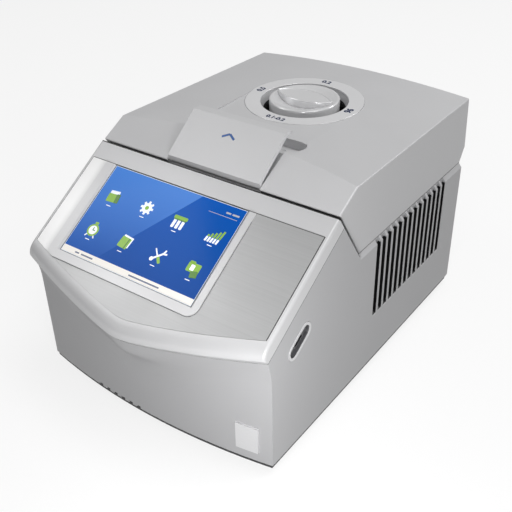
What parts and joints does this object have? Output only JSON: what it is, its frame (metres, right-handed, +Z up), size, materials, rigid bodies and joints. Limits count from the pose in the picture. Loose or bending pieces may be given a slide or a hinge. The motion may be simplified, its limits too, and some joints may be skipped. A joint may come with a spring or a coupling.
{
  "type": "gradient thermal cycler",
  "caption": "Bench thermal cycler with a sloping touch-screen console, a rear-hinged lid with a pull latch, and a dial that presses a heated plate onto a well block.",
  "frame": {"origin": "middle of the overall box in plan, on the surface the feet stand on", "axes": "+X to the right as seen by the user in front, +Y to the rear, +Z up"},
  "size_m": [0.2654, 0.395, 0.2424],
  "materials": {
    "tray": "satin dark moulding",
    "housing": "satin silver paint",
    "rear_sheet": "satin silver paint",
    "feet": "matt",
    "moulding": "silver paint, half gloss",
    "overlay": "brushed across",
    "frame_plastic": "silver paint, half gloss",
    "screen_glass": "polished",
    "display_case": "rolled",
    "circuit_board": "solder mask",
    "steel_case": "rolled",
    "black_plastic": "satin",
    "rocker_plastic": "half gloss",
    "guard_steel": "plain",
    "screen_mesh": "woven mesh",
    "dark_trim": "satin",
    "badge_metal": "brushed, bare",
    "deck_plastic": "satin",
    "gasket_rubber": "matt",
    "block_metal": "bead blasted",
    "ceramic_pads": "ceramic",
    "sink_metal": "extruded",
    "lid_plastic": "satin silver paint",
    "dial_plastic": "silver paint, half gloss",
    "bush_brass": "turned",
    "handle_plastic": "silver paint, half gloss",
    "knob_plastic": "silver paint, half gloss",
    "heater_foil": "polyimide film"
  },
  "bodies": {
    "base": {"base_tray": "tray", "base_housing": "housing", "rear_panel": "rear_sheet", "rubber_feet": "feet", "console_moulding": "moulding", "console_overlay": "overlay", "display_frame": "frame_plastic", "touch_glass": "screen_glass", "display_panel": "display_case", "display_board": "circuit_board", "main_board": "circuit_board", "power_supply": "steel_case", "inlet_socket": "black_plastic", "switch_frame": "black_plastic", "fan_frame_left": "black_plastic", "fan_frame_right": "black_plastic", "fan_guards": "guard_steel", "vent_screens": "screen_mesh", "usb_trim": "dark_trim", "usb_port": "guard_steel", "badge_plate": "badge_metal", "block_deck": "deck_plastic", "block_gasket": "gasket_rubber", "sample_block": "block_metal", "peltier_modules": "ceramic_pads", "heatsink": "sink_metal", "heatsink_posts": "steel_case", "latch_keeper": "guard_steel", "hinge_brackets": "guard_steel"},
    "lid": {"lid_shell": "lid_plastic", "lid_liner": "deck_plastic", "lid_hinge_arms": "black_plastic", "hinge_pins": "guard_steel", "dial_ring": "dial_plastic", "dial_bowl": "dial_plastic", "spindle_bush": "bush_brass", "guide_posts": "guard_steel", "latch_ears": "black_plastic", "latch_pin": "guard_steel"},
    "latch": {"latch_handle": "handle_plastic", "latch_hooks": "guard_steel"},
    "knob": {"tightening_knob": "knob_plastic", "lead_screw": "guard_steel"},
    "heated_lid": {"plate_carrier": "black_plastic", "lead_nut": "bush_brass", "heater_film": "heater_foil", "heated_plate": "block_metal"},
    "switch_rocker": {"power_rocker": "rocker_plastic"},
    "left_rotor": {"fan_rotor_left": "black_plastic"},
    "right_rotor": {"fan_rotor_right": "black_plastic"}
  },
  "joints": [
    {"name": "lid_hinge", "type": "hinge", "parent": "base", "child": "lid", "pos_m": [0, 0.18511, 0.165], "axis": [-1, 0, 0], "range_deg": [0, 75]},
    {"name": "latch_pivot", "type": "hinge", "parent": "lid", "child": "latch", "pos_m": [0, -0.04734, 0.1999], "axis": [1, 0, 0], "range_deg": [0, 12], "stiffness_Nm_per_rad": 0.8, "springref_deg": -8.59},
    {"name": "knob_turn", "type": "hinge", "parent": "lid", "child": "knob", "pos_m": [0, 0.08791, 0.2241], "axis": [0, 0, -1], "range_deg": [0, 270]},
    {"name": "plate_slide", "type": "slide", "parent": "lid", "child": "heated_lid", "axis": [0, 0, -1], "range_m": [0, 0.009]},
    {"name": "switch_rock", "type": "hinge", "parent": "base", "child": "switch_rocker", "pos_m": [-0.103, 0.18111, 0.087], "axis": [1, 0, 0], "range_deg": [0, 16]},
    {"name": "left_fan_spin", "type": "hinge", "parent": "base", "child": "left_rotor", "pos_m": [-0.035, 0.16811, 0.07], "axis": [0, -1, 0], "continuous": true},
    {"name": "right_fan_spin", "type": "hinge", "parent": "base", "child": "right_rotor", "pos_m": [0.055, 0.16811, 0.07], "axis": [0, -1, 0], "continuous": true}
  ],
  "couplings": [
    {"joint": "knob_turn", "follows": "plate_slide", "rad_per_m": 523.5}
  ]
}
